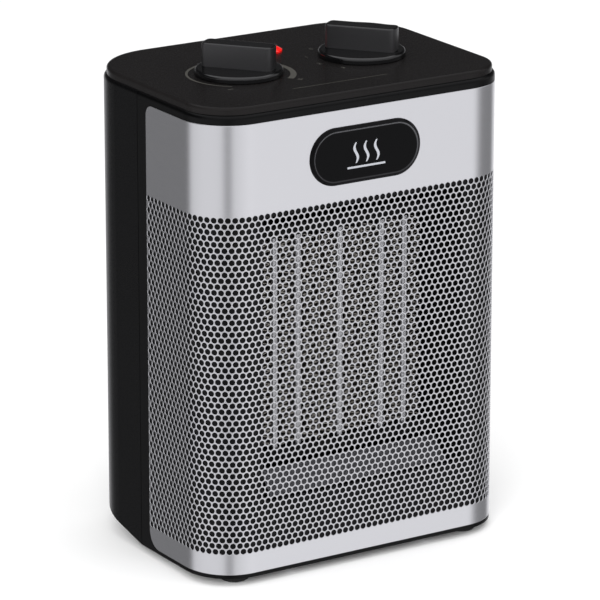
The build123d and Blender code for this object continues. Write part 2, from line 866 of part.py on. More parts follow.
with BuildPart() as motor_bearings:
    for inner_y, outward in ((stack_front_y, -1), (stack_rear_y, 1)):
        with BuildSketch(front_plane(inner_y + outward * bracket_reach)):
            with Locations((0, air_z)):
                Circle(bearing_radius)
                Circle(shaft_radius + shaft_clearance, mode=Mode.SUBTRACT)
        extrude(amount=outward * (bracket_reach - bearing_setback))

with BuildPart() as motor_screws:
    for sign_x in (-1, 1):
        head_plane = Plane(origin=(sign_x * mount_screw_x, mount_plate_y - mount_plate_sheet, air_z))
        long_screw = pan_screw(stack_rear_y - mount_plate_y + mount_plate_sheet + bracket_reach)
        add(Pos(head_plane.origin) * Rot(-90, 0, 0) * long_screw)

# --- Thermostat and selector switch -------------------------------------------------------------


def spindle(sign_x):
    """A control spindle with a flat where the knob grips it."""
    with BuildPart() as rod:
        with BuildSketch(Plane.XY.offset(spindle_bottom)):
            with Locations((sign_x * knob_x, knob_y)):
                Circle(spindle_radius)
        extrude(amount=spindle_top - spindle_bottom)
        with BuildSketch(Plane.XY.offset(spindle_flat_bottom)):
            with Locations((sign_x * knob_x, knob_y + spindle_flat + spindle_radius)):
                Rectangle(4 * spindle_radius, 2 * spindle_radius)
        extrude(amount=spindle_top - spindle_flat_bottom, mode=Mode.SUBTRACT)
    return rod.part


def control_body(sign_x, depth, bottom):
    """The block under the panel that a spindle turns in, with its bush through the panel."""
    with BuildPart() as body:
        with BuildSketch(Plane.XY.offset(bottom)):
            with Locations((sign_x * knob_x, knob_y)):
                RectangleRounded(control_width, depth, control_corner)
        extrude(amount=control_top - bottom)
        with BuildSketch(Plane.XY.offset(control_top)):
            with Locations((sign_x * knob_x, knob_y)):
                Circle(bush_radius)
        extrude(amount=bush_top - control_top)
        with BuildSketch(Plane.XY.offset(spindle_bottom - spindle_end_gap)):
            with Locations((sign_x * knob_x, knob_y)):
                Circle(spindle_radius + shaft_clearance)
        extrude(amount=bush_top - spindle_bottom + spindle_end_gap, mode=Mode.SUBTRACT)
    return body.part


with BuildPart() as thermostat_body:
    add(control_body(-1, thermostat_depth, thermostat_bottom))

with BuildPart() as thermostat_blade:
    with BuildSketch(Plane.XY.offset(thermostat_bottom - strip_gap - strip_sheet)):
        with Locations((-knob_x - (strip_length - control_width) / 2, knob_y)):
            Rectangle(strip_length, strip_width)
    extrude(amount=strip_sheet)
    # the foot that fixes the strip under the thermostat
    with BuildSketch(Plane.XY.offset(thermostat_bottom - strip_gap)):
        with Locations((-knob_x + (control_width - strip_width) / 2, knob_y)):
            Rectangle(strip_width, strip_width)
    extrude(amount=strip_gap)

with BuildPart() as switch_body:
    add(control_body(1, switch_depth, switch_bottom))

with BuildPart() as switch_terminals:
    with BuildSketch(Plane.XY.offset(switch_bottom - tab_length)):
        with Locations((knob_x, knob_y)):
            with GridLocations(*tab_pitch, 3, 2):
                Rectangle(tab_width, tab_sheet)
    extrude(amount=tab_length)

with BuildPart() as thermostat_spindle:
    add(spindle(-1))

with BuildPart() as selector_spindle:
    add(spindle(1))


def knob(sign_x, spindle_part):
    """Round skirt with a flat bar grip across it, bored to fit its spindle."""
    with BuildPart() as turned:
        with BuildSketch(Plane.XY.offset(knob_bottom)):
            with Locations((sign_x * knob_x, knob_y)):
                Circle(knob_skirt_radius)
        extrude(amount=knob_skirt_top - knob_bottom)
        fillet(turned.edges().sort_by(Axis.Z)[-1], knob_skirt_edge)
        # hollow under the skirt
        with BuildSketch(Plane.XY.offset(knob_bottom)):
            with Locations((sign_x * knob_x, knob_y)):
                Circle(knob_skirt_radius - knob_skirt_wall)
                Circle(spindle_radius + knob_boss_wall, mode=Mode.SUBTRACT)
        extrude(amount=knob_hollow, mode=Mode.SUBTRACT)
    with BuildPart() as grip:
        with BuildSketch(Plane.XY.offset(knob_skirt_top - grip_sink)) as bar:
            with Locations(Location((sign_x * knob_x, knob_y, 0), (0, 0, grip_angle))):
                Circle(grip_radius)
                Rectangle(3 * grip_radius, grip_width, mode=Mode.INTERSECT)
            fillet(bar.vertices(), grip_corner)
        extrude(amount=knob_top - knob_skirt_top + grip_sink)
        fillet(grip.faces().sort_by(Axis.Z)[-1].edges(), grip_edge)
    with BuildPart() as whole:
        add(turned.part)
        add(grip.part)
        add(spindle_part, mode=Mode.SUBTRACT)
    return whole.part


with BuildPart() as thermostat_knob:
    add(knob(-1, thermostat_spindle.part))

with BuildPart() as selector_knob:
    add(knob(1, selector_spindle.part))

# --- Pilot light --------------------------------------------------------------------------------
dome_bottom = panel_top + lens_flange
dome_radius = (lens_radius**2 + lens_dome**2) / (2 * lens_dome)
with BuildPart() as pilot_lens:
    with BuildSketch(Plane.XZ.offset(-lens_y)):
        with BuildLine():
            Polyline(
                (0, lens_bottom),
                (lens_neck_radius, lens_bottom),
                (lens_neck_radius, panel_top),
                (lens_radius, panel_top),
                (lens_radius, dome_bottom),
            )
            RadiusArc((lens_radius, dome_bottom), (0, dome_bottom + lens_dome), -dome_radius)
            Line((0, dome_bottom + lens_dome), (0, lens_bottom))
        make_face()
    revolve(axis=Axis((0, lens_y, 0), (0, 0, 1)))
    with BuildSketch(Plane.XY.offset(lens_bottom)):
        with Locations((0, lens_y)):
            Circle(lens_bore_radius)
    extrude(amount=panel_top - lens_bottom, mode=Mode.SUBTRACT)

with BuildPart() as neon_lamp:
    with BuildSketch(Plane.XY.offset(lens_bottom - lamp_drop)):
        with Locations((0, lens_y)):
            Circle(lamp_radius)
    extrude(amount=lamp_length)
    fillet(neon_lamp.edges().sort_by(Axis.Z)[-1], lamp_tip_radius)
    with BuildSketch(Plane.XY.offset(lens_bottom - lamp_drop - lamp_length)):
        with Locations((-lamp_lead_x, lens_y), (lamp_lead_x, lens_y)):
            Circle(lamp_lead_radius)
    extrude(amount=lamp_length)

# --- Tip-over switch ----------------------------------------------------------------------------
with BuildPart() as tip_over_switch:
    with BuildSketch(Plane.XY.offset(base_top)):
        with Locations((0, tip_y)):
            RectangleRounded(*tip_body_size, control_corner)
    extrude(amount=tip_body_top - base_top)
    with BuildSketch(Plane.XY.offset(base_top)):
        with Locations((0, tip_y)):
            Circle(plunger_hole_radius)
    extrude(amount=tip_chamber_bottom - base_top, mode=Mode.SUBTRACT)
    with BuildSketch(Plane.XY.offset(tip_chamber_bottom)):
        with Locations((0, tip_y)):
            Circle(tip_chamber_radius)
    extrude(amount=tip_chamber_top - tip_chamber_bottom, mode=Mode.SUBTRACT)

with BuildPart() as tip_over_plunger:
    with BuildSketch(Plane.XY):
        with Locations((0, tip_y)):
            Circle(plunger_radius)
    extrude(amount=plunger_top)
    fillet(tip_over_plunger.edges().sort_by(Axis.Z)[0], plunger_tip_edge)
    with BuildSketch(Plane.XY.offset(plunger_collar_z)):
        with Locations((0, tip_y)):
            Circle(plunger_collar_radius)
    extrude(amount=plunger_collar)

spring_low = plunger_collar_z + plunger_collar + spring_wire
spring_high = tip_chamber_top - spring_wire
with BuildPart() as plunger_spring:
    with BuildLine() as coil:
        Helix(
            pitch=(spring_high - spring_low) / spring_turns,
            height=spring_high - spring_low,
            radius=spring_coil_radius,
            center=(0, tip_y, spring_low),
        )
    with BuildSketch(Plane(origin=coil.line @ 0, z_dir=coil.line % 0)):
        Circle(spring_wire)
    sweep()

# --- Feet, screws, gland and terminal block -------------------------------------------------------
with BuildPart() as rubber_feet:
    with BuildSketch(Plane.XY):
        with Locations(*front_feet, *rear_feet):
            Circle(foot_radius)
    extrude(amount=base_bottom)
    fillet(rubber_feet.faces().group_by(Axis.Z)[0].edges(), foot_edge)
    with BuildSketch(Plane.XY.offset(base_bottom)):
        with Locations(*front_feet, *rear_feet):
            Circle(foot_peg_radius)
    extrude(amount=wall)

with BuildPart() as base_screws:
    for screw_x, screw_y in base_screws_at:
        add(Pos(screw_x, screw_y, base_bottom) * pan_screw(base_screw_length))

with BuildPart() as rear_cover_screws:
    for screw_x, screw_z in cover_screws_at:
        add(Pos(screw_x, cover_screw_inner_y, screw_z) * Rot(90, 0, 0) * pan_screw(cover_screw_length))

with BuildPart() as cable_gland:
    with BuildSketch(front_plane(rear_y)):
        with Locations((gland_x, gland_z)):
            Circle(gland_flange_radius)
    extrude(amount=-badge_proud)
    fillet(cable_gland.edges().sort_by(Axis.Y)[-1], gland_edge)
    with BuildSketch(front_plane(rear_y)):
        with Locations((gland_x, gland_z)):
            Circle(gland_radius)
    extrude(amount=rear_y - gland_inner_y)
    with BuildSketch(front_plane(rear_y + badge_proud)):
        with Locations((gland_x, gland_z)):
            Circle(gland_bore_radius)
    extrude(amount=rear_y + badge_proud - gland_inner_y, mode=Mode.SUBTRACT)

with BuildPart() as terminal_block:
    with BuildSketch(Plane.XY.offset(base_top)):
        with Locations(block_at):
            Rectangle(*block_size)
    extrude(amount=block_height)
    with BuildSketch(Plane.XY.offset(base_top + block_height)):
        with Locations(block_at):
            with GridLocations(*block_pitch, 3, 2):
                Circle(block_screw_radius)
    extrude(amount=-block_well, mode=Mode.SUBTRACT)

with BuildPart() as terminal_screws:
    with BuildSketch(Plane.XY.offset(base_top + block_height - block_well)):
        with Locations(block_at):
            with GridLocations(*block_pitch, 3, 2):
                Circle(block_screw_radius)
    extrude(amount=block_screw_length)

# --- Labels and files -----------------------------------------------------------------------------
pieces = {
    "main_housing": main_housing,
    "front_frame": front_frame,
    "rear_cover": rear_cover,
    "rear_guard": rear_guard,
    "control_panel": control_panel,
    "base_plate": base_plate,
    "front_grille": front_grille,
    "badge_plate": badge_plate,
    "outlet_duct": outlet_duct,
    "contact_bars": contact_bars,
    "ptc_stones": ptc_stones,
    "heater_fins": heater_fins,
    "element_frame_top": element_frame_top,
    "element_frame_bottom": element_frame_bottom,
    "sill_deflector": sill_deflector,
    "thermal_cutout": thermal_cutout,
    "thermal_fuse": thermal_fuse,
    "fan_shroud": fan_shroud,
    "fan_impeller": fan_impeller,
    "motor_shaft": motor_shaft,
    "motor_rotor": motor_rotor,
    "motor_stator": motor_stator,
    "motor_coil": motor_coil,
    "motor_brackets": motor_brackets,
    "motor_bearings": motor_bearings,
    "motor_screws": motor_screws,
    "thermostat_body": thermostat_body,
    "thermostat_blade": thermostat_blade,
    "thermostat_spindle": thermostat_spindle,
    "thermostat_knob": thermostat_knob,
    "switch_body": switch_body,
    "switch_terminals": switch_terminals,
    "selector_spindle": selector_spindle,
    "selector_knob": selector_knob,
    "pilot_lens": pilot_lens,
    "neon_lamp": neon_lamp,
    "tip_over_switch": tip_over_switch,
    "tip_over_plunger": tip_over_plunger,
    "plunger_spring": plunger_spring,
    "rubber_feet": rubber_feet,
    "base_screws": base_screws,
    "rear_cover_screws": rear_cover_screws,
    "cable_gland": cable_gland,
    "terminal_block": terminal_block,
    "terminal_screws": terminal_screws,
}

os.makedirs("parts", exist_ok=True)
for name, piece in pieces.items():
    piece.part.label = name
    export_step(piece.part, f"parts/{name}.step")
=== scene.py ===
import json
import math

import bpy
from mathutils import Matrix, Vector


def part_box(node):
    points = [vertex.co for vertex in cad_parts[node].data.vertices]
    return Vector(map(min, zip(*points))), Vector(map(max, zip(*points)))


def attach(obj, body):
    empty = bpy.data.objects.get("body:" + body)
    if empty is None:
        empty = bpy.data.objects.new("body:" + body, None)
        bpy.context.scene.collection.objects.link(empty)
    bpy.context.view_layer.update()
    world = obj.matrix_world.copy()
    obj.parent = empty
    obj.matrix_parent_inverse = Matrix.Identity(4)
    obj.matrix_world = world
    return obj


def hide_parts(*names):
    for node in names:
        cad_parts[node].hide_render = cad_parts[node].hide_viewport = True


# Ceramic fan heater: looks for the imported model. Metres, +Z up, the grille faces -Y.

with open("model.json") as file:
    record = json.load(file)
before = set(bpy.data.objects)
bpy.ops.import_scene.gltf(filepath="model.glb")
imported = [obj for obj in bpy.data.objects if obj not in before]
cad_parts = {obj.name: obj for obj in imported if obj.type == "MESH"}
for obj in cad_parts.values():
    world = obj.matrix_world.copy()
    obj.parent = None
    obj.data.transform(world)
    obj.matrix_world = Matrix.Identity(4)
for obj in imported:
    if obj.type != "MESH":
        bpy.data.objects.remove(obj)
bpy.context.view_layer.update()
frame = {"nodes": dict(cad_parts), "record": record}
nodes = frame["nodes"]
MM = 0.001


# --- Camera and studio ------------------------------------------------------------------------
VIEW_AZIMUTH = math.radians(-32.25)
VIEW_ELEVATION = math.radians(17.09)
VIEW_DISTANCE = 2.202
VIEW_TARGET = Vector((0.0, 0.0, 0.125))
LENS_MM = 261.5
SHIFT = (0.0093, -0.0175)
FLOOR_HALF_SIZE = 4.0
FLOOR_COLOR = (0.92, 0.92, 0.92, 1.0)
FLOOR_ROUGHNESS = 0.9
FLOOR_SPECULAR = 0.1


def place_camera():
    """A long lens above the left front corner, aimed at the middle of the case."""
    back = Vector((
        math.sin(VIEW_AZIMUTH) * math.cos(VIEW_ELEVATION),
        -math.cos(VIEW_AZIMUTH) * math.cos(VIEW_ELEVATION),
        math.sin(VIEW_ELEVATION),
    ))
    data = bpy.data.cameras.new("camera")
    data.lens = LENS_MM
    data.shift_x, data.shift_y = SHIFT
    camera = bpy.data.objects.new("camera", data)
    camera.location = VIEW_TARGET + back * VIEW_DISTANCE
    camera.rotation_euler = back.to_track_quat("Z", "Y").to_euler()
    bpy.context.scene.collection.objects.link(camera)
    bpy.context.scene.camera = camera


def lay_floor():
    """A plain pale floor that the steel doesn't mirror."""
    signs = ((-1, -1), (1, -1), (1, 1), (-1, 1))
    corners = [(x * FLOOR_HALF_SIZE, y * FLOOR_HALF_SIZE, 0.0) for x, y in signs]
    mesh = bpy.data.meshes.new("floor")
    mesh.from_pydata(corners, [], [(0, 1, 2, 3)])
    floor = bpy.data.objects.new("floor", mesh)
    bpy.context.scene.collection.objects.link(floor)
    floor.visible_glossy = False
    material, _, surface = new_material("floor")
    surface.inputs["Base Color"].default_value = FLOOR_COLOR
    surface.inputs["Roughness"].default_value = FLOOR_ROUGHNESS
    surface.inputs["Specular IOR Level"].default_value = FLOOR_SPECULAR
    mesh.materials.append(material)


# Brightness of the room that upright faces mirror, by compass angle in degrees from +X.
ROOM = (
    (-180, 0.82), (-152, 0.82), (-136, 0.80), (-124, 0.40), (-116, 0.40), (-108, 0.78),
    (-70, 0.94), (-52, 0.94), (-40, 0.52), (-28, 0.28), (12, 0.24), (30, 0.85),
    (60, 0.95), (84, 0.90), (96, 0.21), (128, 0.20), (138, 0.25), (150, 0.74), (180, 0.82),
)
# Brightness of what faces that look upwards mirror, by the height of the mirrored direction,
# on the camera's side of the heater and behind it.
CEILING_FRONT = ((0.0, 0.6), (0.50, 0.6), (0.68, 1.1), (1.0, 1.1))
CEILING_BACK = ((0.0, 0.06), (0.22, 0.05), (0.34, 0.02), (0.60, 0.02), (0.75, 1.1), (1.0, 1.1))
WHITE = (1.0, 1.0, 1.0, 1.0)
BLUE_CAST = 1.03
# How gradually the ceiling turns from back to front, and the walls turn into the ceiling.
FRONT_BLEND = 0.15
HORIZON_BLEND = 0.08
# Name, place, side and power of each soft lamp.
LAMPS = (
    ("overhead", (0.3, -0.4, 1.6), 1.4, 6.0),
    ("key", (-1.1, -1.2, 0.7), 1.0, 22.0),
)


def ramp_node(tree, value, stops):
    """A faintly cool grey ramp through (position, brightness) stops."""
    ramp = tree.nodes.new("ShaderNodeValToRGB")
    while len(ramp.color_ramp.elements) < len(stops):
        ramp.color_ramp.elements.new(0.5)
    for element, (position, brightness) in zip(ramp.color_ramp.elements, stops):
        element.position = position
        element.color = (brightness, brightness, brightness * BLUE_CAST, 1.0)
    tree.links.new(value, ramp.inputs["Fac"])
    return ramp.outputs["Color"]


def build_world():
    """Even white light, with a room of bright and dim panels that only shows in reflections."""
    world = bpy.data.worlds.new("studio")
    bpy.context.scene.world = world
    world.use_nodes = True
    tree = world.node_tree
    tree.nodes.clear()
    split = split_position(tree, "Generated")
    angle = math_node(tree, "ARCTAN2", split.outputs["Y"], split.outputs["X"])
    turn = map_range(tree, angle, -math.pi, math.pi, 0.0, 1.0)
    walls = ramp_node(tree, turn, [((degrees + 180) / 360, brightness) for degrees, brightness in ROOM])
    towards_front = map_range(tree, split.outputs["Y"], FRONT_BLEND, -FRONT_BLEND, 0.0, 1.0)
    ceiling = mix_colors(
        tree,
        towards_front,
        ramp_node(tree, split.outputs["Z"], CEILING_BACK),
        ramp_node(tree, split.outputs["Z"], CEILING_FRONT),
    )
    upwards = map_range(tree, split.outputs["Z"], -HORIZON_BLEND, HORIZON_BLEND, 0.0, 1.0)
    room = mix_colors(tree, upwards, walls, ceiling)
    path = tree.nodes.new("ShaderNodeLightPath")
    light = mix_colors(tree, path.outputs["Is Glossy Ray"], WHITE, room)
    background = tree.nodes.new("ShaderNodeBackground")
    output = tree.nodes.new("ShaderNodeOutputWorld")
    tree.links.new(light, background.inputs["Color"])
    tree.links.new(background.outputs["Background"], output.inputs["Surface"])


def add_soft_light(name, location, size, power):
    """A large square lamp aimed at the middle of the case."""
    data = bpy.data.lights.new(name, "AREA")
    data.size = size
    data.energy = power
    lamp = bpy.data.objects.new(name, data)
    lamp.location = location
    lamp.rotation_euler = (Vector(location) - VIEW_TARGET).to_track_quat("Z", "Y").to_euler()
    lamp.visible_glossy = False
    bpy.context.scene.collection.objects.link(lamp)


# --- Small node builders ------------------------------------------------------------------------
def new_material(name):
    """A new node material, its node tree and its main shader."""
    material = bpy.data.materials.new(name)
    material.use_nodes = True
    tree = material.node_tree
    return material, tree, tree.nodes["Principled BSDF"]


def math_node(tree, operation, first, second=0.0):
    """A sum on two values, each a socket or a number; some sums use only the first."""
    node = tree.nodes.new("ShaderNodeMath")
    node.operation = operation
    for socket, value in zip(node.inputs, (first, second)):
        connect(tree, value, socket)
    return node.outputs[0]


def connect(tree, value, socket):
    """Links a node's output to a socket, or sets a plain value on it."""
    if isinstance(value, bpy.types.NodeSocket):
        tree.links.new(value, socket)
    else:
        socket.default_value = value


def map_range(tree, value, from_low, from_high, to_low, to_high):
    """A value moved in a straight line from one range to another, and held at its ends."""
    node = tree.nodes.new("ShaderNodeMapRange")
    numbers = {"From Min": from_low, "From Max": from_high, "To Min": to_low, "To Max": to_high}
    for name, number in numbers.items():
        node.inputs[name].default_value = number
    tree.links.new(value, node.inputs["Value"])
    return node.outputs["Result"]


# A mix node has sockets of the same names for each kind of value; these are the colour ones.
MIX_FIRST = 6
MIX_SECOND = 7
MIX_RESULT = 2


def mix_colors(tree, factor, first, second):
    """The first colour where the factor is 0, and the second where it is 1."""
    node = tree.nodes.new("ShaderNodeMix")
    node.data_type = "RGBA"
    connect(tree, factor, node.inputs["Factor"])
    connect(tree, first, node.inputs[MIX_FIRST])
    connect(tree, second, node.inputs[MIX_SECOND])
    return node.outputs[MIX_RESULT]


def split_position(tree, space):
    """The x, y and z of each point, in the object's own frame or in the world's directions."""
    coords = tree.nodes.new("ShaderNodeTexCoord")
    split = tree.nodes.new("ShaderNodeSeparateXYZ")
    tree.links.new(coords.outputs[space], split.inputs[0])
    return split


def noise(tree, feature, detail=2.0, stretch=(1.0, 1.0, 1.0)):
    """Noise whose grains are about one feature long in metres, drawn out where stretch is small."""
    coords = tree.nodes.new("ShaderNodeTexCoord")
    mapping = tree.nodes.new("ShaderNodeMapping")
    mapping.inputs["Scale"].default_value = stretch
    texture = tree.nodes.new("ShaderNodeTexNoise")
    texture.inputs["Scale"].default_value = 1.0 / feature
    texture.inputs["Detail"].default_value = detail
    tree.links.new(coords.outputs["Object"], mapping.inputs["Vector"])
    tree.links.new(mapping.outputs["Vector"], texture.inputs["Vector"])
    return texture.outputs["Fac"]


def set_color(tree, surface, factor, first, second):
    """Colours a surface between two colours."""
    tree.links.new(mix_colors(tree, factor, first, second), surface.inputs["Base Color"])


def set_roughness(tree, surface, texture, spread, low, high):
    """Roughness from low to high as a noise goes through its spread of values."""
    value = map_range(tree, texture, *spread, low, high)
    tree.links.new(value, surface.inputs["Roughness"])


def add_bump(tree, surface, height, strength, depth):
    """Raises and lowers a surface's shading by a height."""
    node = tree.nodes.new("ShaderNodeBump")
    node.inputs["Strength"].default_value = strength
    node.inputs["Distance"].default_value = depth
    tree.links.new(height, node.inputs["Height"])
    tree.links.new(node.outputs["Normal"], surface.inputs["Normal"])


def shaded(color, factor):
    """A colour made darker or lighter by a factor, with full alpha."""
    return tuple(channel * factor for channel in color) + (1.0,)


# --- Materials ----------------------------------------------------------------------------------
# The spread of a noise that goes from the lowest roughness to the highest.
SOFT_NOISE = (0.2, 0.8)
SHARP_NOISE = (0.3, 0.7)

CLOUD_SIZE = 30 * MM
CLOUD_DARK = 0.88
CLOUD_LIGHT = 1.12
SPARK_GRAIN = 0.35 * MM
SPARK_DEPTH = 0.05 * MM
SPARK_ROUGHNESS = 0.05


def moulded_plastic(name, color, roughness, bump=0.25, specular=0.3):
    """Moulded plastic with a fine spark-eroded texture and slight cloudiness in the colour."""
    material, tree, surface = new_material(name)
    cloud = noise(tree, CLOUD_SIZE)
    set_color(tree, surface, cloud, shaded(color, CLOUD_DARK), shaded(color, CLOUD_LIGHT))
    texture = noise(tree, SPARK_GRAIN, detail=1.0)
    low, high = roughness - SPARK_ROUGHNESS, roughness + SPARK_ROUGHNESS
    set_roughness(tree, surface, texture, SOFT_NOISE, low, high)
    surface.inputs["Specular IOR Level"].default_value = specular
    add_bump(tree, surface, texture, bump, SPARK_DEPTH)
    return material


SKIRT_HEIGHT = 3.0 * MM
SKIRT_BLEND = 0.5 * MM
# The skirt's near-black colour is painted shade, and the grip's lighter colours a painted lit face; both
# are one black moulding.
SKIRT_SHADE_COLOR = (0.0020, 0.0020, 0.0022, 1.0)
SKIRT_ROUGHNESS = 0.12
GRIP_DARK = (0.0100, 0.0098, 0.0106, 1.0)
GRIP_LIGHT = (0.0125, 0.0122, 0.0132, 1.0)
GRIP_CLOUD_SIZE = 20 * MM
GRIP_ROUGHNESS_ADDED = (0.20, 0.28)
# The grip's top fades back towards the skirt: painted shade in its colour, and a real glossier finish.
GRIP_FADE_FROM = 0.9 * MM
GRIP_FADE_TO = 0.2 * MM
GRIP_TOP_SHARE = 0.2
KNOB_SPECULAR = 0.70
KNOB_BUMP = 0.15


def knob_plastic(name):
    """Black knob moulding: a glossy skirt painted dark as shade, and a satin grip on it painted lighter
    as lit, with a glossier top painted darker as shade.
    """
    material, tree, surface = new_material(name)
    z = split_position(tree, "Object").outputs["Z"]
    low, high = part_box("thermostat_knob")
    skirt_top = low.z + SKIRT_HEIGHT
    above_skirt = map_range(tree, z, skirt_top, skirt_top + SKIRT_BLEND, 0.0, 1.0)
    # Mask that darkens the grip's top as painted shade and makes it glossier.
    below_top = map_range(tree, z, high.z - GRIP_FADE_FROM, high.z - GRIP_FADE_TO, 1.0, GRIP_TOP_SHARE)
    grip = math_node(tree, "MULTIPLY", above_skirt, below_top)
    texture = noise(tree, SPARK_GRAIN, detail=1.0)
    satin = map_range(tree, texture, *SOFT_NOISE, *GRIP_ROUGHNESS_ADDED)
    grip_color = mix_colors(tree, noise(tree, GRIP_CLOUD_SIZE), GRIP_DARK, GRIP_LIGHT)
    set_color(tree, surface, grip, SKIRT_SHADE_COLOR, grip_color)
    roughness = math_node(tree, "ADD", math_node(tree, "MULTIPLY", grip, satin), SKIRT_ROUGHNESS)
    tree.links.new(roughness, surface.inputs["Roughness"])
    surface.inputs["Specular IOR Level"].default_value = KNOB_SPECULAR
    add_bump(tree, surface, texture, KNOB_BUMP, SPARK_DEPTH)
    return material


BADGE_COLOR = (0.0010, 0.0010, 0.0012, 1.0)
# A painted highlight along the ridge, fading towards the badge's foot.
RIDGE_HIGHLIGHT_COLOR = (0.110, 0.110, 0.118, 1.0)
RIDGE_INSET = 2.0 * MM
RIDGE_WIDTH = 0.5 * MM
RIDGE_HIGHLIGHT_AT_FOOT = 0.15
HAZE_SIZE = 2 * MM
HAZE_ROUGHNESS = (0.07, 0.13)
HAZE_DEPTH = 0.05 * MM
HAZE_BUMP = 0.03
BADGE_SPECULAR = 0.09


def badge_plastic(name):
    """Gloss black, with a painted highlight along the ridge round the dished face, most of all at the
    top.
    """
    material, tree, surface = new_material(name)
    low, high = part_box("badge_plate")
    radius = (high.z - low.z) / 2
    straight = high.x - radius
    position = split_position(tree, "Object")
    from_middle = math_node(tree, "ABSOLUTE", position.outputs["X"])
    along = math_node(tree, "MAXIMUM", math_node(tree, "SUBTRACT", from_middle, straight), 0.0)
    up = math_node(tree, "SUBTRACT", position.outputs["Z"], (low.z + high.z) / 2)
    squares = [math_node(tree, "MULTIPLY", side, side) for side in (along, up)]
    reach = math_node(tree, "SQRT", math_node(tree, "ADD", *squares))
    from_ridge = math_node(tree, "ABSOLUTE", math_node(tree, "SUBTRACT", reach, radius - RIDGE_INSET))
    # Painted highlight: a band of lighter colour along the ridge, strongest at the top.
    ridge = map_range(tree, from_ridge, 0.0, RIDGE_WIDTH, 1.0, 0.0)
    high_up = map_range(tree, up, -radius, radius, RIDGE_HIGHLIGHT_AT_FOOT, 1.0)
    set_color(tree, surface, math_node(tree, "MULTIPLY", ridge, high_up), BADGE_COLOR, RIDGE_HIGHLIGHT_COLOR)
    haze = noise(tree, HAZE_SIZE)
    set_roughness(tree, surface, haze, SHARP_NOISE, *HAZE_ROUGHNESS)
    surface.inputs["Specular IOR Level"].default_value = BADGE_SPECULAR
    add_bump(tree, surface, haze, HAZE_BUMP, HAZE_DEPTH)
    return material


BRUSH_WIDTH = 0.25 * MM
BRUSH_DARK = 0.95
BRUSH_LIGHT = 1.03
BRUSH_ROUGHNESS = 0.03
BRUSH_BUMP = 0.05
BRUSH_DEPTH = 0.01 * MM
LEVEL_BRUSHING = (0.02, 0.02, 1.0)
UPRIGHT_BRUSHING = (1.0, 1.0, 0.03)


def brushed_metal(name, color, roughness, streak):
    """Metal with fine drawn-out brushing in its colour, its roughness and its surface."""
    material, tree, surface = new_material(name)
    surface.inputs["Metallic"].default_value = 1.0
    lines = noise(tree, BRUSH_WIDTH, stretch=streak)
    set_color(tree, surface, lines, shaded(color, BRUSH_DARK), shaded(color, BRUSH_LIGHT))
    low, high = roughness - BRUSH_ROUGHNESS, roughness + BRUSH_ROUGHNESS
    set_roughness(tree, surface, lines, SHARP_NOISE, low, high)
    add_bump(tree, surface, lines, BRUSH_BUMP, BRUSH_DEPTH)
    return material


MOTTLE_SIZE = 0.8 * MM
MOTTLE_DARK = 0.85
MOTTLE_LIGHT = 1.08
MOTTLE_SMOOTHER = 0.06
MOTTLE_ROUGHER = 0.08
MOTTLE_BUMP = 0.1
MOTTLE_DEPTH = 0.03 * MM


def mottled(name, color, roughness, metallic):
    """Plated, pressed or sintered material with a faintly mottled finish."""
    material, tree, surface = new_material(name)
    surface.inputs["Metallic"].default_value = metallic
    mottle = noise(tree, MOTTLE_SIZE, detail=3.0)
    set_color(tree, surface, mottle, shaded(color, MOTTLE_DARK), shaded(color, MOTTLE_LIGHT))
    low, high = roughness - MOTTLE_SMOOTHER, roughness + MOTTLE_ROUGHER
    set_roughness(tree, surface, mottle, SHARP_NOISE, low, high)
    add_bump(tree, surface, mottle, MOTTLE_BUMP, MOTTLE_DEPTH)
    return material


# The wave texture's bands are 2 pi / 20 of this apart, which makes turns of about 0.8 mm.
WIRE_SCALE = 2.5 * MM
# Painted shade: the grooves between turns are darker than the crests.
WIRE_GROOVE_SHADE = (0.28, 0.09, 0.03, 1.0)
WIRE_CREST = (0.62, 0.27, 0.11, 1.0)
WIRE_METALLIC = 0.8
WIRE_ROUGHNESS = 0.35
WIRE_BUMP = 0.5
WIRE_DEPTH = 0.2 * MM


def wound_copper(name):
    """Enamelled copper wire laid in even turns, with painted shade in the grooves between turns."""
    material, tree, surface = new_material(name)
    coords = tree.nodes.new("ShaderNodeTexCoord")
    turns = tree.nodes.new("ShaderNodeTexWave")
    turns.bands_direction = "Z"
    turns.inputs["Scale"].default_value = 1.0 / WIRE_SCALE
    tree.links.new(coords.outputs["Object"], turns.inputs["Vector"])
    set_color(tree, surface, turns.outputs["Fac"], WIRE_GROOVE_SHADE, WIRE_CREST)
    surface.inputs["Metallic"].default_value = WIRE_METALLIC
    surface.inputs["Roughness"].default_value = WIRE_ROUGHNESS
    add_bump(tree, surface, turns.outputs["Fac"], WIRE_BUMP, WIRE_DEPTH)
    return material


LENS_DEEP = (0.75, 0.0, 0.0, 1.0)
LENS_BRIGHT = (1.0, 0.02, 0.015, 1.0)
# A painted glow: the lens emits light though no lamp lights it.
LENS_GLOW = (1.0, 0.01, 0.01, 1.0)
LENS_GLOW_STRENGTH = 0.12
LENS_ROUGHNESS = 0.12
LENS_SHADING_SIZE = 6 * MM


def clear_red(name):
    """Clear red moulding: glossy, with a faint painted glow that stands for daylight going through it."""
    material, tree, surface = new_material(name)
    set_color(tree, surface, noise(tree, LENS_SHADING_SIZE), LENS_DEEP, LENS_BRIGHT)
    surface.inputs["Roughness"].default_value = LENS_ROUGHNESS
    surface.inputs["Emission Color"].default_value = LENS_GLOW
    surface.inputs["Emission Strength"].default_value = LENS_GLOW_STRENGTH
    return material


NEON_DEEP = (0.95, 0.7, 0.5, 1.0)
NEON_PALE = (1.0, 0.82, 0.66, 1.0)
NEON_ROUGHNESS = 0.05
NEON_CLARITY = 0.9
NEON_TINT_SIZE = 4 * MM


def lamp_glass(name):
    """Clear glass with the orange tint of a neon lamp."""
    material, tree, surface = new_material(name)
    set_color(tree, surface, noise(tree, NEON_TINT_SIZE), NEON_DEEP, NEON_PALE)
    surface.inputs["Roughness"].default_value = NEON_ROUGHNESS
    surface.inputs["Transmission Weight"].default_value = NEON_CLARITY
    return material


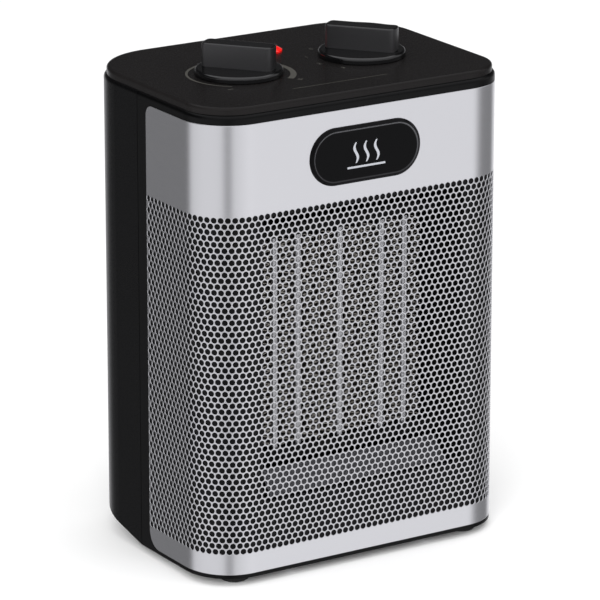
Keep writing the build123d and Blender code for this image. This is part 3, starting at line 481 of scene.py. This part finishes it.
# Colour, roughness, and what differs from a usual moulding.
MOULDED = {
    "case_plastic": ((0.0015, 0.0015, 0.0017), 0.28, {"specular": 0.14}),
    "housing_gloss": ((0.0008, 0.0008, 0.0009), 0.30, {"specular": 0.16}),
    "panel_plastic": ((0.0088, 0.0080, 0.0080), 0.25, {"bump": 0.12, "specular": 0.10}),
    "inner_plastic": ((0.006, 0.006, 0.006), 0.6, {"specular": 0.15}),
    "fan_plastic": ((0.05, 0.05, 0.055), 0.45, {}),
    "control_plastic": ((0.70, 0.68, 0.62), 0.5, {}),
    "spindle_plastic": ((0.74, 0.73, 0.68), 0.35, {}),
    "scale_ink": ((0.055, 0.053, 0.046), 0.6, {}),
    "badge_ink": ((0.36, 0.37, 0.40), 0.45, {}),
    "foot_rubber": ((0.015, 0.015, 0.015), 0.75, {"specular": 0.2}),
}
# Colour, roughness and the direction of the brushing.
BRUSHED = {
    "grille_steel": ((0.74, 0.74, 0.76), 0.24, LEVEL_BRUSHING),
    "element_aluminium": ((0.80, 0.80, 0.82), 0.45, UPRIGHT_BRUSHING),
    "sill_metal": ((0.17, 0.17, 0.18), 0.45, LEVEL_BRUSHING),
}
# Colour, roughness, and 1 for a metal or 0 for a ceramic.
MOTTLED = {
    "fin_aluminium": ((0.55, 0.52, 0.47), 0.5, 1.0),
    "heating_ceramic": ((0.30, 0.28, 0.27), 0.75, 0.0),
    "motor_steel": ((0.32, 0.32, 0.34), 0.45, 1.0),
    "zinc_steel": ((0.60, 0.60, 0.62), 0.3, 1.0),
    "bearing_bronze": ((0.55, 0.36, 0.18), 0.4, 1.0),
    "terminal_brass": ((0.72, 0.55, 0.25), 0.3, 1.0),
}
SPECIAL = {
    "knob_plastic": knob_plastic,
    "badge_plastic": badge_plastic,
    "copper_winding": wound_copper,
    "lens_red": clear_red,
    "lamp_glass": lamp_glass,
}


def make_materials():
    """One material for each of the record's slots, and three finishes that share a slot."""
    made = {name: build(name) for name, build in SPECIAL.items()}
    for name, (color, roughness, changes) in MOULDED.items():
        made[name] = moulded_plastic(name, color, roughness, **changes)
    for name, (color, roughness, streak) in BRUSHED.items():
        made[name] = brushed_metal(name, color, roughness, streak)
    for name, (color, roughness, metallic) in MOTTLED.items():
        made[name] = mottled(name, color, roughness, metallic)
    return made


def dress(obj, material):
    """Gives every face of an object one material."""
    obj.data.materials.clear()
    obj.data.materials.append(material)


def add_piece(name, vertices, faces, slot, finish=None):
    """A new mesh piece on the case, in the material of a record slot, or in its own finish when one is
    given.
    """
    mesh = bpy.data.meshes.new(name)
    mesh.from_pydata(vertices, [], faces)
    mesh.validate()
    piece = bpy.data.objects.new(name, mesh)
    bpy.context.scene.collection.objects.link(piece)
    dress(piece, materials[finish or slot])
    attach(piece, "housing")
    return piece


# --- Punched steel grille -------------------------------------------------------------------------
SHEET = 0.6 * MM
CORNER = 24.7 * MM
TOP_CORNER = 5.5 * MM
BOTTOM_CORNER = 9.0 * MM
PITCH = 3.5 * MM
HOLE = 2.90 * MM
ROW_PITCH = PITCH * math.sqrt(3) / 2
ROWS = 57
FIRST_ROW_Z = 18.0 * MM
HOLE_SIDES = 12
CELL_SIDES = 6
CELL_RADIUS = PITCH / math.sqrt(3)
LIP = 0.1 * MM
BAND_MARGIN = 0.9 * MM
BAND_STEPS = 5
ROLLED_EDGE = 0.3 * MM
ARC_STEPS = 6
# Points closer together than this are one point, and so are stations equal to this many digits.
POINT_GRID = 0.001 * MM
STATION_DIGITS = 7


class Wrap:
    """The U-shaped steel sheet laid out flat: s runs along the sheet from the left rear edge."""

    def __init__(self):
        low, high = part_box("front_grille")
        self.low_z = low.z
        self.high_z = high.z
        self.half_width = high.x
        self.front_y = low.y
        self.side = high.y - low.y - CORNER
        self.front = 2 * (self.half_width - CORNER)
        self.bend = CORNER * math.pi / 2
        self.length = 2 * self.side + 2 * self.bend + self.front

    def place(self, s, z, depth):
        """The point at s and z, a depth behind the outer face."""
        mirrored = s > self.length / 2
        s = self.length - s if mirrored else s
        if s < self.side:
            x = -self.half_width + depth
            y = self.front_y + CORNER + self.side - s
        elif s < self.side + self.bend:
            turn = (s - self.side) / CORNER
            radius = CORNER - depth
            x = -self.half_width + CORNER - radius * math.cos(turn)
            y = self.front_y + CORNER - radius * math.sin(turn)
        else:
            x = -self.half_width + CORNER + (s - self.side - self.bend)
            y = self.front_y + depth
        return (-x if mirrored else x, y, z)


class Sheet:
    """Collects the faces of the sheet by their corners in s, z and depth behind the outer face."""

    def __init__(self):
        self.points = {}
        self.faces = []

    def point(self, s, z, depth):
        """The number of the point at this place, which is a new one only if none is there."""
        key = tuple(round(value / POINT_GRID) for value in (s, z, depth))
        return self.points.setdefault(key, (len(self.points), s, z, depth))[0]

    def face(self, corners):
        """Adds one face by its corners."""
        self.faces.append([self.point(*corner) for corner in corners])

    def skins(self, corners):
        """A face on the outer side of the sheet and its match on the inner side."""
        self.face([(s, z, 0.0) for s, z in corners])
        self.face([(s, z, SHEET) for s, z in reversed(corners)])

    def build(self, wrap):
        """Bends the sheet round the case and closes its cut border."""
        listed = sorted(self.points.values())
        edges = {(a, b) for face in self.faces for a, b in zip(face, face[1:] + face[:1])}
        for a, b in [edge for edge in edges if edge[::-1] not in edges]:
            _, s_a, z_a, depth_a = listed[a]
            _, s_b, z_b, depth_b = listed[b]
            if depth_a == depth_b == 0.0:
                self.face([(s_b, z_b, 0.0), (s_a, z_a, 0.0), (s_a, z_a, SHEET), (s_b, z_b, SHEET)])
        return [wrap.place(s, z, depth) for _, s, z, depth in listed], self.faces


def row_start(row, wrap):
    """Where the hexagons of a row begin; odd rows begin half a pitch later."""
    start = wrap.length % PITCH / 2
    return start + (PITCH / 2 if row % 2 else 0.0)


def ring(s, z, radius, sides):
    """Points round a centre, the first at 30 degrees so that hexagons stand on a corner."""
    turns = [math.radians(30 + 360 * side / sides) for side in range(sides)]
    return [(s + radius * math.cos(turn), z + radius * math.sin(turn)) for turn in turns]


def punch_hole(sheet, s, z):
    """One hexagonal cell with a round hole, whose outer edge is slightly rolled in."""
    rim = ring(s, z, CELL_RADIUS, CELL_SIDES)
    lip = ring(s, z, HOLE / 2 + LIP, HOLE_SIDES)
    hole = ring(s, z, HOLE / 2, HOLE_SIDES)
    per_side = HOLE_SIDES // CELL_SIDES
    for side in range(CELL_SIDES):
        corners = [rim[side], rim[(side + 1) % CELL_SIDES]]
        steps = [(side * per_side + step) % HOLE_SIDES for step in reversed(range(per_side + 1))]
        sheet.face([(*point, 0.0) for point in corners + [lip[step] for step in steps]])
        back = corners + [hole[step] for step in steps]
        sheet.face([(*point, SHEET) for point in reversed(back)])
    for step in range(HOLE_SIDES):
        after = (step + 1) % HOLE_SIDES
        sheet.face([(*lip[step], 0.0), (*lip[after], 0.0), (*hole[after], LIP), (*hole[step], LIP)])
        mouth = [(*hole[step], LIP), (*hole[after], LIP)]
        sheet.face(mouth + [(*hole[after], SHEET), (*hole[step], SHEET)])


def punch_holes(sheet, wrap):
    """The staggered rows of holes."""
    for row in range(ROWS):
        start = row_start(row, wrap)
        for column in range(round((wrap.length - 2 * start) / PITCH)):
            punch_hole(sheet, start + (column + 0.5) * PITCH, FIRST_ROW_Z + row * ROW_PITCH)


def fill_side_edges(sheet, wrap):
    """Strips between the zigzag ends of the rows and the sheet's straight rear edges."""
    half_side = CELL_RADIUS / 2
    steps = []
    for row in range(ROWS):
        z = FIRST_ROW_Z + row * ROW_PITCH
        steps += [(row_start(row, wrap), z - half_side), (row_start(row, wrap), z + half_side)]
    for (s_low, z_low), (s_high, z_high) in zip(steps, steps[1:]):
        left = [(0.0, z_low), (s_low, z_low), (s_high, z_high), (0.0, z_high)]
        sheet.skins(left)
        sheet.skins([(wrap.length - s, z) for s, z in reversed(left)])


def fill_band(sheet, wrap, up, corner, edge_z):
    """The plain band above (up = 1) or below (up = -1) the holes, with its rounded rear corners."""
    row = ROWS - 1 if up > 0 else 0
    row_z = FIRST_ROW_Z + row * ROW_PITCH
    valley = row_z + up * CELL_RADIUS / 2
    peak = row_z + up * CELL_RADIUS
    seam = peak + up * BAND_MARGIN
    start = row_start(row, wrap)
    half_steps = round((wrap.length - 2 * start) / (PITCH / 2))
    zigzag = [(0.0, valley)]
    for step in range(half_steps + 1):
        zigzag.append((start + step * PITCH / 2, peak if step % 2 else valley))
    zigzag.append((wrap.length, valley))
    arc = [corner * (1 - math.cos(math.pi / 2 * step / ARC_STEPS)) for step in range(ARC_STEPS + 1)]
    places = [s for s, _ in zigzag] + arc + [wrap.length - s for s in arc]
    stations = sorted({round(s, STATION_DIGITS) for s in places})

    def edge(s):
        """The height of the sheet's outer edge at s."""
        reach = corner - min(s, wrap.length - s)
        if reach <= 0:
            return edge_z
        return edge_z - up * (corner - math.sqrt(max(corner**2 - reach**2, 0.0)))

    def ordered(corners):
        """Corners in the order that turns a face outwards above or below the holes."""
        return corners if up > 0 else corners[::-1]

    for (s_left, z_left), (s_right, z_right) in zip(zigzag, zigzag[1:]):
        from_s, to_s = round(s_left, STATION_DIGITS), round(s_right, STATION_DIGITS)
        across = [(s, seam) for s in reversed(stations) if from_s <= s <= to_s]
        sheet.skins(ordered([(s_left, z_left), (s_right, z_right)] + across))
    last = 1 - ROLLED_EDGE / abs(edge_z - seam)
    levels = [last * step / BAND_STEPS for step in range(BAND_STEPS + 1)] + [1.0]
    for s_left, s_right in zip(stations, stations[1:]):
        for low, high in zip(levels, levels[1:]):
            sheet.skins(ordered([
                (s_left, seam + (edge(s_left) - seam) * low),
                (s_right, seam + (edge(s_right) - seam) * low),
                (s_right, seam + (edge(s_right) - seam) * high),
                (s_left, seam + (edge(s_left) - seam) * high),
            ]))


def make_grille():
    """The punched sheet that stands for the plain one in the model."""
    wrap = Wrap()
    sheet = Sheet()
    punch_holes(sheet, wrap)
    fill_side_edges(sheet, wrap)
    fill_band(sheet, wrap, 1, TOP_CORNER, wrap.high_z)
    fill_band(sheet, wrap, -1, BOTTOM_CORNER, wrap.low_z)
    vertices, faces = sheet.build(wrap)
    grille = add_piece("punched_grille", vertices, faces, "grille_steel")
    # Smooth all over, so that the cut edges look rolled as punching leaves them.
    for polygon in grille.data.polygons:
        polygon.use_smooth = True
    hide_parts("front_grille")


# --- Printed marks ----------------------------------------------------------------------------------
INK = 0.05 * MM
DIAL_STEPS = 72
# Angles round a knob, anticlockwise from +X.
THERMOSTAT_COOL = 231.0
THERMOSTAT_WARM = -52.0
SELECTOR_MARKS = {"0": 122.0, "1": 157.0, "2": 188.0, "3": 218.0}
ARC_INNER = 25.3 * MM
ARC_THIN = 0.5 * MM
ARC_THICK = 3.2 * MM
COOL_SIGN_RADIUS = 31.0 * MM
WARM_SIGN_RADIUS = 32.0 * MM
SIGN_LENGTH = 3.2 * MM
SIGN_WIDTH = 0.6 * MM
NUMERAL_RADIUS = 28.0 * MM
NUMERAL_HEIGHT = 4.0 * MM
RULE_X = -2.0 * MM
RULE_SETBACK = 18.0 * MM
RULE_LENGTH = 55.0 * MM
RULE_WIDTH = 0.35 * MM


def knob_centre(node):
    """Where a knob's axis meets the panel, as x and y."""
    low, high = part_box(node)
    return (low.x + high.x) / 2, (low.y + high.y) / 2


def polar(centre, radius, degrees):
    """The point at a radius and an angle from a centre, as x and y."""
    turn = math.radians(degrees)
    return centre[0] + radius * math.cos(turn), centre[1] + radius * math.sin(turn)


def raised_strip(lower_edge, upper_edge, base_z):
    """A closed ribbon of ink between two lines of points on a level face."""
    count = len(lower_edge)
    rows = [
        [(x, y, base_z) for x, y in lower_edge],
        [(x, y, base_z) for x, y in upper_edge],
        [(x, y, base_z + INK) for x, y in upper_edge],
        [(x, y, base_z + INK) for x, y in lower_edge],
    ]
    vertices = [point for row in rows for point in row]
    faces = []
    for step in range(count - 1):
        for row in range(4):
            a = row * count + step
            b = (row + 1) % 4 * count + step
            faces.append((a, b, b + 1, a + 1))
    last = count - 1
    faces.append((0, 3 * count, 2 * count, count))
    faces.append((last, count + last, 2 * count + last, 3 * count + last))
    return vertices, faces


def print_thermostat_scale(panel_z):
    """A crescent that grows from a hairline at the cool end to a broad band at the warm end."""
    centre = knob_centre("thermostat_knob")
    inner = []
    outer = []
    for step in range(DIAL_STEPS + 1):
        part = step / DIAL_STEPS
        degrees = THERMOSTAT_COOL + (THERMOSTAT_WARM - THERMOSTAT_COOL) * part
        inner.append(polar(centre, ARC_INNER, degrees))
        outer.append(polar(centre, ARC_INNER + ARC_THIN + (ARC_THICK - ARC_THIN) * part, degrees))
    vertices, faces = raised_strip(inner, outer, panel_z)
    add_piece("thermostat_scale", vertices, faces, "control_plastic", "scale_ink")


def print_bar(name, centre, length, width, degrees, panel_z):
    """A short straight printed bar."""
    ends = [polar(centre, reach, degrees) for reach in (-length / 2, length / 2)]
    near = [polar(end, -width / 2, degrees + 90) for end in ends]
    far = [polar(end, width / 2, degrees + 90) for end in ends]
    vertices, faces = raised_strip(near, far, panel_z)
    add_piece(name, vertices, faces, "control_plastic", "scale_ink")


def print_digit(digit, centre, panel_z):
    """A plain numeral, turned into a thin closed mesh."""
    curve = bpy.data.curves.new("numeral", "FONT")
    curve.body = digit
    curve.size = NUMERAL_HEIGHT
    curve.extrude = INK / 2
    curve.align_x = "CENTER"
    curve.align_y = "CENTER"
    text = bpy.data.objects.new("numeral", curve)
    bpy.context.scene.collection.objects.link(text)
    bpy.context.view_layer.update()
    mesh = bpy.data.meshes.new_from_object(text.evaluated_get(bpy.context.evaluated_depsgraph_get()))
    bpy.data.objects.remove(text)
    x, y = centre
    z = panel_z + INK / 2
    vertices = [(point.co.x + x, point.co.y + y, point.co.z + z) for point in mesh.vertices]
    faces = [tuple(polygon.vertices) for polygon in mesh.polygons]
    add_piece(f"selector_numeral_{digit}", vertices, faces, "control_plastic", "scale_ink")


def print_panel():
    """Scales round both knobs and a plain rule in front of them."""
    low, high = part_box("control_panel")
    print_thermostat_scale(high.z)
    thermostat = knob_centre("thermostat_knob")
    cool_end = polar(thermostat, COOL_SIGN_RADIUS, THERMOSTAT_COOL)
    warm_end = polar(thermostat, WARM_SIGN_RADIUS, THERMOSTAT_WARM)
    print_bar("cool_minus", cool_end, SIGN_LENGTH, SIGN_WIDTH, 0.0, high.z)
    print_bar("warm_plus_level", warm_end, SIGN_LENGTH, SIGN_WIDTH, 0.0, high.z)
    print_bar("warm_plus_upright", warm_end, SIGN_LENGTH, SIGN_WIDTH, 90.0, high.z)
    selector = knob_centre("selector_knob")
    for digit, degrees in SELECTOR_MARKS.items():
        print_digit(digit, polar(selector, NUMERAL_RADIUS, degrees), high.z)
    print_bar("front_rule", (RULE_X, low.y + RULE_SETBACK), RULE_LENGTH, RULE_WIDTH, 0.0, high.z)


# --- Badge icon ---------------------------------------------------------------------------------------
WAVES = 3
WAVE_PITCH = 6.0 * MM
WAVE_STEPS = 28
WAVE_FOOT = -4.5 * MM
WAVE_HEIGHT = 10.5 * MM
WAVE_SWAY = 1.0 * MM
WAVE_TIP = 0.35 * MM
WAVE_SWELL = 0.45 * MM
BAR_HALF = 11.0 * MM
BAR_FOOT = -7.0 * MM
BAR_TOP = -6.0 * MM
DISH_DEPTH = 0.35 * MM


def print_on_badge(name, left, right):
    """A ribbon of ink standing on the badge's face, from edges in x and height above its middle."""
    low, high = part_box("badge_plate")
    middle_z = (low.z + high.z) / 2
    face_y = low.y + DISH_DEPTH
    vertices, faces = raised_strip(left, right, 0.0)
    standing = [(x, face_y - lift, middle_z + height) for x, height, lift in vertices]
    add_piece(name, standing, faces, "control_plastic", "badge_ink")


def print_badge_icon():
    """Three rising heat waves over a bar."""
    for wave in range(WAVES):
        middle = (wave - (WAVES - 1) / 2) * WAVE_PITCH
        left = []
        right = []
        for step in range(WAVE_STEPS + 1):
            part = step / WAVE_STEPS
            height = WAVE_FOOT + part * WAVE_HEIGHT
            sway = WAVE_SWAY * math.sin(part * 2 * math.pi)
            half = WAVE_TIP + WAVE_SWELL * math.sin(part * math.pi)
            left.append((middle + sway - half, height))
            right.append((middle + sway + half, height))
        print_on_badge(f"badge_wave_{wave + 1}", left, right)
    foot = [(-BAR_HALF, BAR_FOOT), (BAR_HALF, BAR_FOOT)]
    top = [(-BAR_HALF, BAR_TOP), (BAR_HALF, BAR_TOP)]
    print_on_badge("badge_bar", foot, top)


# --- Build the scene ------------------------------------------------------------------------------------
place_camera()
build_world()
lay_floor()
for lamp_name, place, size, power in LAMPS:
    add_soft_light(lamp_name, place, size, power)
materials = make_materials()
for entry in frame["record"]["subparts"]:
    dress(nodes[entry["node"]], materials[entry["material_slot"]])
dress(nodes["main_housing"], materials["housing_gloss"])
make_grille()
print_panel()
print_badge_icon()

bpy.context.scene.view_settings.view_transform = "Standard"
